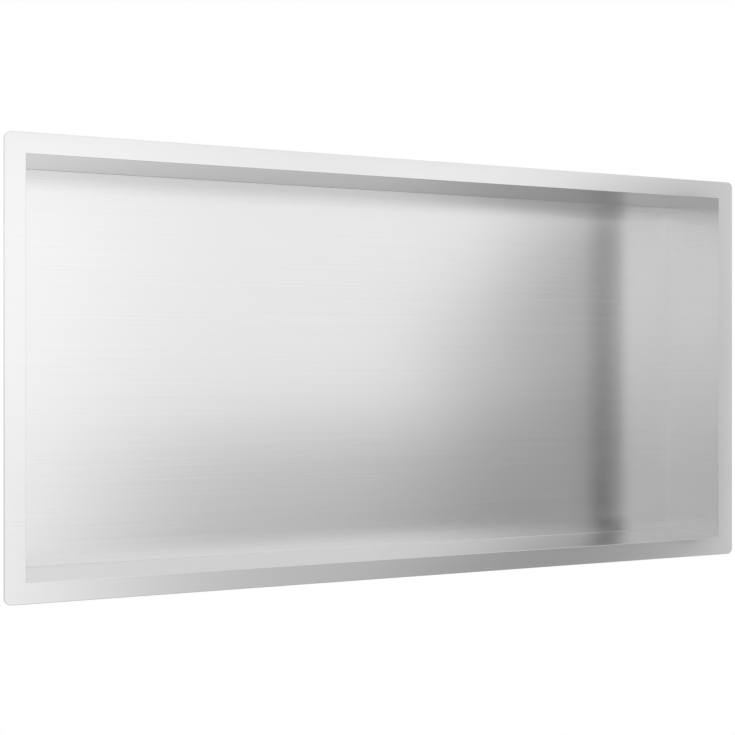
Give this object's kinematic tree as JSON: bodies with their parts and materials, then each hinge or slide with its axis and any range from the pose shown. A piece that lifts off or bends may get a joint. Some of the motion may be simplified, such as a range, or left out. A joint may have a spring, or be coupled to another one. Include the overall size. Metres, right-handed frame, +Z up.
{
  "type": "recessed shower niche",
  "caption": "Recessed stainless-steel shower shelf: a shallow open-fronted box folded from sheet, with a flat flange that covers the edge of its cut-out in the wall.",
  "frame": {"origin": "centre of the opening, in the plane of the flange's rear face, which lies on the finished wall", "axes": "+X to the right as the user faces the niche, +Y into the wall, +Z up; the open front faces -Y"},
  "size_m": [0.63, 0.075, 0.33],
  "materials": {
    "brushed_steel": "fine brushed satin, grain along the longer direction of each panel"
  },
  "bodies": {
    "root": {"niche_shell": "brushed_steel"}
  },
  "joints": []
}
